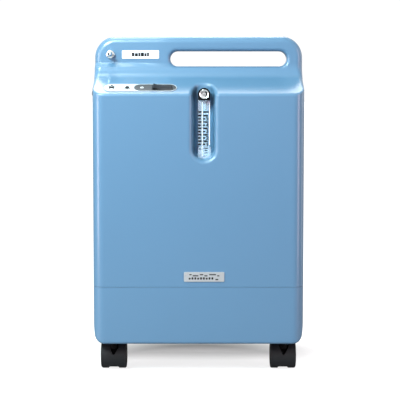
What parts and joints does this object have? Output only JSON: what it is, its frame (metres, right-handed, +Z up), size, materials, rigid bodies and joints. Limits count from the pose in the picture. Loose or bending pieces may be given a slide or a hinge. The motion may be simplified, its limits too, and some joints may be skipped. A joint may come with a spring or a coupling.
{
  "type": "oxygen concentrator",
  "caption": "Home oxygen concentrator: upright blue casing with a through handle, sloped control shelf, recessed flow meter and twin-wheel casters",
  "frame": {"origin": "on the floor, under the centre of the casing plan; the reset button makes the box 3 mm wider on the left only", "axes": "+X to the viewer's right facing the control panel, -Y is the front, +Z up"},
  "size_m": [0.375, 0.2441, 0.594],
  "materials": {
    "casing_blue": "fine moulded satin",
    "panel_white": "smooth",
    "surround_grey": "fine texture",
    "switch_black": "satin",
    "fitting_chrome": "polished",
    "aluminium": "satin",
    "badge_metal": "brushed",
    "clear_block": "polished clear acrylic",
    "float_black": "polished",
    "foam": "open cell foam",
    "steel": "zinc plated",
    "board_green": "solder mask",
    "copper": "drawn copper",
    "rubber": "matte",
    "clear_hose": "translucent",
    "caster_black": "satin moulded",
    "wheel_black": "matte"
  },
  "bodies": {
    "casing": {"front_shell": "casing_blue", "rear_shell": "casing_blue", "base_tub": "casing_blue", "control_panel": "panel_white", "switch_surround": "surround_grey", "oxygen_outlet": "fitting_chrome", "outlet_nut": "aluminium", "label_plate": "panel_white", "badge_plate": "badge_metal", "reset_bezel": "switch_black", "flow_meter_block": "clear_block", "flow_meter_inlet": "clear_block", "flow_valve_body": "switch_black", "intake_foam": "foam", "rear_screw_1": "steel", "rear_screw_2": "steel", "power_inlet": "switch_black", "chassis": "steel", "compressor": "aluminium", "fan_housing": "switch_black", "sieve_bed_1": "aluminium", "sieve_bed_2": "aluminium", "valve_manifold": "aluminium", "valve_solenoids": "switch_black", "product_tank": "aluminium", "pressure_regulator": "fitting_chrome", "inlet_filter": "panel_white", "run_capacitor": "aluminium", "circuit_board": "board_green", "cooling_coil": "copper", "hose_filter_to_compressor": "rubber", "hose_tank_to_meter": "clear_hose", "hose_meter_to_outlet": "clear_hose", "compressor_mount_1": "rubber", "compressor_mount_2": "rubber", "compressor_mount_3": "rubber", "compressor_mount_4": "rubber"},
    "caster_front_left": {"caster_front_left_fork": "caster_black", "caster_front_left_axle": "steel"},
    "caster_front_left_wheel_left": {"caster_front_left_wheel_left": "wheel_black"},
    "caster_front_left_wheel_right": {"caster_front_left_wheel_right": "wheel_black"},
    "caster_front_right": {"caster_front_right_fork": "caster_black", "caster_front_right_axle": "steel"},
    "caster_front_right_wheel_left": {"caster_front_right_wheel_left": "wheel_black"},
    "caster_front_right_wheel_right": {"caster_front_right_wheel_right": "wheel_black"},
    "caster_rear_left": {"caster_rear_left_fork": "caster_black", "caster_rear_left_axle": "steel"},
    "caster_rear_left_wheel_left": {"caster_rear_left_wheel_left": "wheel_black"},
    "caster_rear_left_wheel_right": {"caster_rear_left_wheel_right": "wheel_black"},
    "caster_rear_right": {"caster_rear_right_fork": "caster_black", "caster_rear_right_axle": "steel"},
    "caster_rear_right_wheel_left": {"caster_rear_right_wheel_left": "wheel_black"},
    "caster_rear_right_wheel_right": {"caster_rear_right_wheel_right": "wheel_black"},
    "rocker": {"rocker_switch": "switch_black"},
    "flow_control": {"flow_knob": "switch_black", "flow_knob_cap": "fitting_chrome"},
    "flow_float": {"flow_meter_float": "float_black"},
    "reset": {"reset_button": "switch_black"},
    "filter_hatch": {"filter_door": "casing_blue"},
    "fan": {"fan_rotor": "switch_black"}
  },
  "joints": [
    {"name": "caster_front_left_swivel", "type": "hinge", "parent": "casing", "child": "caster_front_left", "pos_m": [-0.152, -0.084, 0.05], "axis": [0, 0, 1], "continuous": true},
    {"name": "caster_front_left_left_spin", "type": "hinge", "parent": "caster_front_left", "child": "caster_front_left_wheel_left", "pos_m": [-0.1676, -0.068, 0.024], "axis": [1, 0, 0], "continuous": true},
    {"name": "caster_front_left_right_spin", "type": "hinge", "parent": "caster_front_left", "child": "caster_front_left_wheel_right", "pos_m": [-0.1364, -0.068, 0.024], "axis": [1, 0, 0], "continuous": true},
    {"name": "caster_front_right_swivel", "type": "hinge", "parent": "casing", "child": "caster_front_right", "pos_m": [0.152, -0.084, 0.05], "axis": [0, 0, 1], "continuous": true},
    {"name": "caster_front_right_left_spin", "type": "hinge", "parent": "caster_front_right", "child": "caster_front_right_wheel_left", "pos_m": [0.1364, -0.068, 0.024], "axis": [1, 0, 0], "continuous": true},
    {"name": "caster_front_right_right_spin", "type": "hinge", "parent": "caster_front_right", "child": "caster_front_right_wheel_right", "pos_m": [0.1676, -0.068, 0.024], "axis": [1, 0, 0], "continuous": true},
    {"name": "caster_rear_left_swivel", "type": "hinge", "parent": "casing", "child": "caster_rear_left", "pos_m": [-0.16, 0.074, 0.05], "axis": [0, 0, 1], "continuous": true},
    {"name": "caster_rear_left_left_spin", "type": "hinge", "parent": "caster_rear_left", "child": "caster_rear_left_wheel_left", "pos_m": [-0.1756, 0.09, 0.024], "axis": [1, 0, 0], "continuous": true},
    {"name": "caster_rear_left_right_spin", "type": "hinge", "parent": "caster_rear_left", "child": "caster_rear_left_wheel_right", "pos_m": [-0.1444, 0.09, 0.024], "axis": [1, 0, 0], "continuous": true},
    {"name": "caster_rear_right_swivel", "type": "hinge", "parent": "casing", "child": "caster_rear_right", "pos_m": [0.16, 0.074, 0.05], "axis": [0, 0, 1], "continuous": true},
    {"name": "caster_rear_right_left_spin", "type": "hinge", "parent": "caster_rear_right", "child": "caster_rear_right_wheel_left", "pos_m": [0.1444, 0.09, 0.024], "axis": [1, 0, 0], "continuous": true},
    {"name": "caster_rear_right_right_spin", "type": "hinge", "parent": "caster_rear_right", "child": "caster_rear_right_wheel_right", "pos_m": [0.1756, 0.09, 0.024], "axis": [1, 0, 0], "continuous": true},
    {"name": "switch_rock", "type": "hinge", "parent": "casing", "child": "rocker", "pos_m": [-0.06325, -0.10057, 0.50333], "axis": [0, 0.8829, 0.4695], "range_deg": [-18, 0]},
    {"name": "flow_turn", "type": "hinge", "parent": "casing", "child": "flow_control", "pos_m": [0.01, -0.112, 0.493], "axis": [0, -1, 0], "range_deg": [0, 1440]},
    {"name": "float_rise", "type": "slide", "parent": "casing", "child": "flow_float", "axis": [0, 0, 1], "range_m": [0, 0.071]},
    {"name": "reset_press", "type": "slide", "parent": "casing", "child": "reset", "axis": [1, 0, 0], "range_m": [0, 0.002], "stiffness_N_per_m": 600},
    {"name": "filter_door_swing", "type": "hinge", "parent": "casing", "child": "filter_hatch", "pos_m": [0, 0.115, 0.2635], "axis": [1, 0, 0], "range_deg": [-90, 0]},
    {"name": "fan_spin", "type": "hinge", "parent": "casing", "child": "fan", "pos_m": [-0.055, -0.005, 0.261], "axis": [0, 0, 1], "continuous": true}
  ]
}
